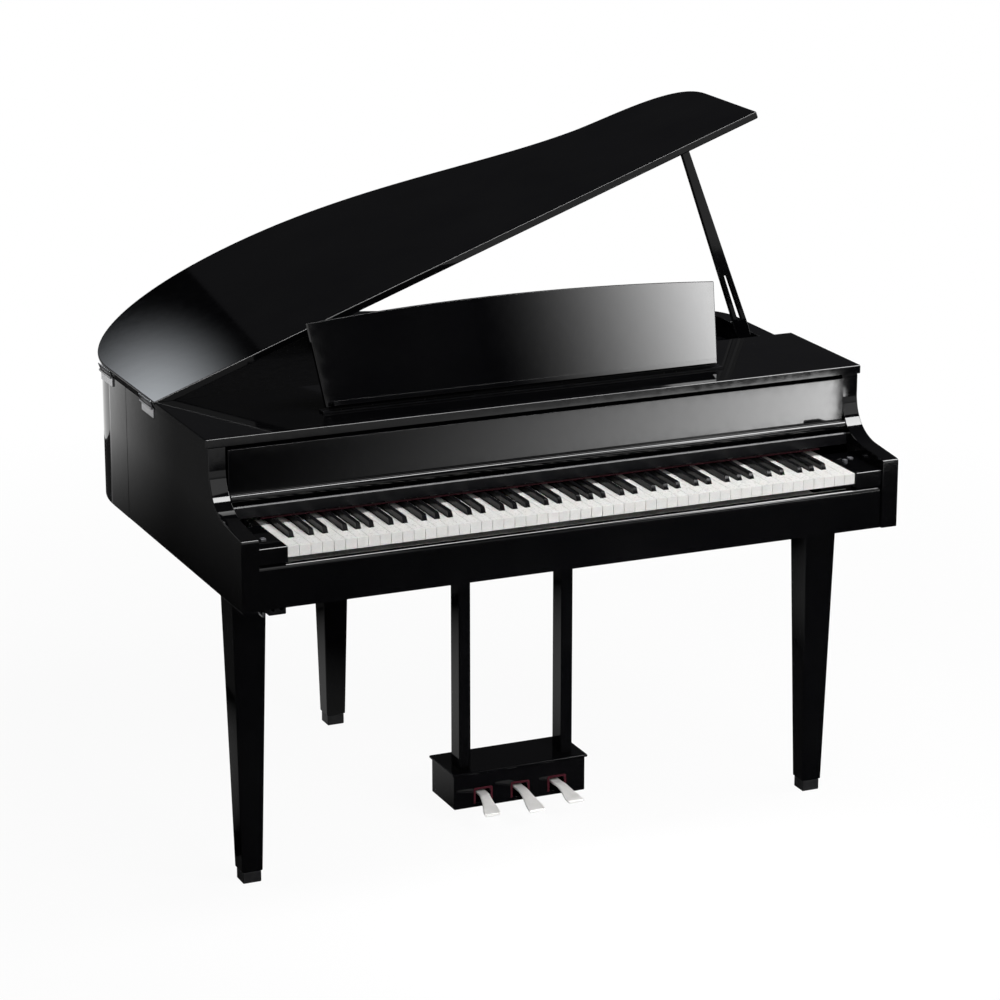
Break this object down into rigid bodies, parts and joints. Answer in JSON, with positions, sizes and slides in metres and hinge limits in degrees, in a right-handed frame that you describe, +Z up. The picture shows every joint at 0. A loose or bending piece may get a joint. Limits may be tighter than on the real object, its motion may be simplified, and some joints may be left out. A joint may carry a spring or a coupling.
{
  "type": "digital grand piano",
  "caption": "Short digital grand piano on three tapered legs, with propped lid, music desk, folding fallboard, sprung keys and a pedal lyre.",
  "frame": {"origin": "centre of the bounding box at floor level", "axes": "+Z up, +X from the bass side to the treble side, +Y from the player towards the tail"},
  "size_m": [1.433, 1.15, 1.4167],
  "materials": {
    "polished_ebony": "board under clear polished black lacquer",
    "satin_black": "satin black paint on board",
    "ivory_white": "smooth warm white",
    "key_black": "semi-matt black",
    "button_grey": "matt dark grey",
    "bright_steel": "bright nickel on steel",
    "satin_chrome": "polished, slightly warm",
    "foot_black": "matt black",
    "speaker_paper": "matt black",
    "unit_casing": "plain folded sheet"
  },
  "bodies": {
    "case": {"left_side_panel": "polished_ebony", "right_side_panel": "polished_ebony", "tail_rim": "polished_ebony", "top_board": "polished_ebony", "inner_panel": "satin_black", "key_bed": "satin_black", "bottom_board": "satin_black", "key_slip": "polished_ebony", "left_key_block": "polished_ebony", "right_key_block": "polished_ebony", "white_keys": "ivory_white", "black_keys": "key_black", "fallboard_well": "satin_black", "desk_rail": "satin_black", "prop_base": "satin_black", "rim_hinge_front": "bright_steel", "rim_hinge_rear": "bright_steel", "left_leg": "polished_ebony", "right_leg": "polished_ebony", "rear_leg": "polished_ebony", "left_foot": "foot_black", "right_foot": "foot_black", "rear_foot": "foot_black", "left_lyre_post": "polished_ebony", "right_lyre_post": "polished_ebony", "pedal_box": "polished_ebony", "pedal_box_top": "polished_ebony", "left_speaker": "speaker_paper", "right_speaker": "speaker_paper", "electronics_unit": "unit_casing", "headphone_box": "satin_black", "headphone_hook": "bright_steel"},
    "lid": {"lid": "polished_ebony", "lid_hinge_front": "bright_steel", "lid_hinge_rear": "bright_steel", "prop_cup": "satin_black"},
    "prop": {"prop": "polished_ebony"},
    "music_desk": {"music_desk": "polished_ebony"},
    "left_desk_brace": {"left_desk_brace": "bright_steel"},
    "right_desk_brace": {"right_desk_brace": "bright_steel"},
    "fallboard": {"fallboard": "polished_ebony"},
    "fallboard_lip": {"fallboard_lip": "polished_ebony"},
    "left_pedal": {"left_pedal": "satin_chrome"},
    "middle_pedal": {"middle_pedal": "satin_chrome"},
    "right_pedal": {"right_pedal": "satin_chrome"},
    "key_c": {"key_c": "ivory_white"},
    "key_c_sharp": {"key_c_sharp": "key_black"},
    "key_d": {"key_d": "ivory_white"},
    "key_d_sharp": {"key_d_sharp": "key_black"},
    "key_e": {"key_e": "ivory_white"},
    "key_f": {"key_f": "ivory_white"},
    "key_f_sharp": {"key_f_sharp": "key_black"},
    "key_g": {"key_g": "ivory_white"},
    "key_g_sharp": {"key_g_sharp": "key_black"},
    "key_a": {"key_a": "ivory_white"},
    "key_a_sharp": {"key_a_sharp": "key_black"},
    "key_b": {"key_b": "ivory_white"},
    "power_button": {"power_button": "button_grey"},
    "function_button": {"function_button": "button_grey"},
    "volume_slider": {"volume_slider": "button_grey"}
  },
  "joints": [
    {"name": "lid_hinge", "type": "hinge", "parent": "case", "child": "lid", "pos_m": [-0.71199, 0.0925, 0.9148], "axis": [0, -1, 0], "range_deg": [0, 50]},
    {"name": "prop_fold", "type": "hinge", "parent": "case", "child": "prop", "pos_m": [0.65301, -0.015, 0.8927], "axis": [0, -1, 0], "range_deg": [0, 70]},
    {"name": "desk_fold", "type": "hinge", "parent": "case", "child": "music_desk", "pos_m": [0.00201, -0.2924, 0.9352], "axis": [-1, 0, 0], "range_deg": [0, 71]},
    {"name": "left_brace_fold", "type": "hinge", "parent": "music_desk", "child": "left_desk_brace", "pos_m": [-0.24799, -0.26473, 1.01557], "axis": [1, 0, 0], "range_deg": [0, 142]},
    {"name": "right_brace_fold", "type": "hinge", "parent": "music_desk", "child": "right_desk_brace", "pos_m": [0.25201, -0.26473, 1.01557], "axis": [1, 0, 0], "range_deg": [0, 142]},
    {"name": "fallboard_fold", "type": "hinge", "parent": "case", "child": "fallboard", "pos_m": [0.00201, -0.4095, 0.812], "axis": [1, 0, 0], "range_deg": [0, 103]},
    {"name": "fallboard_lip_fold", "type": "hinge", "parent": "fallboard", "child": "fallboard_lip", "pos_m": [0.00201, -0.3962, 0.9085], "axis": [1, 0, 0], "range_deg": [0, 180]},
    {"name": "left_pedal_press", "type": "hinge", "parent": "case", "child": "left_pedal", "pos_m": [-0.08199, -0.19, 0.066], "axis": [1, 0, 0], "range_deg": [0, 4], "stiffness_Nm_per_rad": 8, "springref_deg": -6.88},
    {"name": "middle_pedal_press", "type": "hinge", "parent": "case", "child": "middle_pedal", "pos_m": [0.00201, -0.19, 0.066], "axis": [1, 0, 0], "range_deg": [0, 4], "stiffness_Nm_per_rad": 8, "springref_deg": -6.88},
    {"name": "right_pedal_press", "type": "hinge", "parent": "case", "child": "right_pedal", "pos_m": [0.08601, -0.19, 0.066], "axis": [1, 0, 0], "range_deg": [0, 4], "stiffness_Nm_per_rad": 8, "springref_deg": -6.88},
    {"name": "key_c_press", "type": "hinge", "parent": "case", "child": "key_c", "pos_m": [-0.05691, -0.335, 0.743], "axis": [1, 0, 0], "range_deg": [0, 2.47], "stiffness_Nm_per_rad": 0.6, "springref_deg": -17.19},
    {"name": "key_d_press", "type": "hinge", "parent": "case", "child": "key_d", "pos_m": [-0.03334, -0.335, 0.743], "axis": [1, 0, 0], "range_deg": [0, 2.47], "stiffness_Nm_per_rad": 0.6, "springref_deg": -17.19},
    {"name": "key_e_press", "type": "hinge", "parent": "case", "child": "key_e", "pos_m": [-0.00977, -0.335, 0.743], "axis": [1, 0, 0], "range_deg": [0, 2.47], "stiffness_Nm_per_rad": 0.6, "springref_deg": -17.19},
    {"name": "key_f_press", "type": "hinge", "parent": "case", "child": "key_f", "pos_m": [0.0138, -0.335, 0.743], "axis": [1, 0, 0], "range_deg": [0, 2.47], "stiffness_Nm_per_rad": 0.6, "springref_deg": -17.19},
    {"name": "key_g_press", "type": "hinge", "parent": "case", "child": "key_g", "pos_m": [0.03737, -0.335, 0.743], "axis": [1, 0, 0], "range_deg": [0, 2.47], "stiffness_Nm_per_rad": 0.6, "springref_deg": -17.19},
    {"name": "key_a_press", "type": "hinge", "parent": "case", "child": "key_a", "pos_m": [0.06094, -0.335, 0.743], "axis": [1, 0, 0], "range_deg": [0, 2.47], "stiffness_Nm_per_rad": 0.6, "springref_deg": -17.19},
    {"name": "key_b_press", "type": "hinge", "parent": "case", "child": "key_b", "pos_m": [0.08451, -0.335, 0.743], "axis": [1, 0, 0], "range_deg": [0, 2.47], "stiffness_Nm_per_rad": 0.6, "springref_deg": -17.19},
    {"name": "key_c_sharp_press", "type": "hinge", "parent": "case", "child": "key_c_sharp", "pos_m": [-0.04773, -0.303, 0.743], "axis": [1, 0, 0], "range_deg": [0, 2.6], "stiffness_Nm_per_rad": 0.6, "springref_deg": -17.19},
    {"name": "key_d_sharp_press", "type": "hinge", "parent": "case", "child": "key_d_sharp", "pos_m": [-0.01896, -0.303, 0.743], "axis": [1, 0, 0], "range_deg": [0, 2.6], "stiffness_Nm_per_rad": 0.6, "springref_deg": -17.19},
    {"name": "key_f_sharp_press", "type": "hinge", "parent": "case", "child": "key_f_sharp", "pos_m": [0.02198, -0.303, 0.743], "axis": [1, 0, 0], "range_deg": [0, 2.6], "stiffness_Nm_per_rad": 0.6, "springref_deg": -17.19},
    {"name": "key_g_sharp_press", "type": "hinge", "parent": "case", "child": "key_g_sharp", "pos_m": [0.04915, -0.303, 0.743], "axis": [1, 0, 0], "range_deg": [0, 2.6], "stiffness_Nm_per_rad": 0.6, "springref_deg": -17.19},
    {"name": "key_a_sharp_press", "type": "hinge", "parent": "case", "child": "key_a_sharp", "pos_m": [0.07632, -0.303, 0.743], "axis": [1, 0, 0], "range_deg": [0, 2.6], "stiffness_Nm_per_rad": 0.6, "springref_deg": -17.19},
    {"name": "power_press", "type": "slide", "parent": "case", "child": "power_button", "axis": [0, 0, -1], "range_m": [0, 0.0015], "stiffness_N_per_m": 200, "springref_m": -0.002},
    {"name": "function_press", "type": "slide", "parent": "case", "child": "function_button", "axis": [0, 0, -1], "range_m": [0, 0.0015], "stiffness_N_per_m": 200, "springref_m": -0.002},
    {"name": "volume_slide", "type": "slide", "parent": "case", "child": "volume_slider", "axis": [0, 1, 0], "range_m": [-0.0165, 0.0165]}
  ],
  "couplings": [
    {"joint": "left_brace_fold", "follows": "desk_fold", "ratio": 2},
    {"joint": "right_brace_fold", "follows": "desk_fold", "ratio": 2},
    {"joint": "fallboard_lip_fold", "follows": "fallboard_fold", "ratio": 1.747}
  ]
}
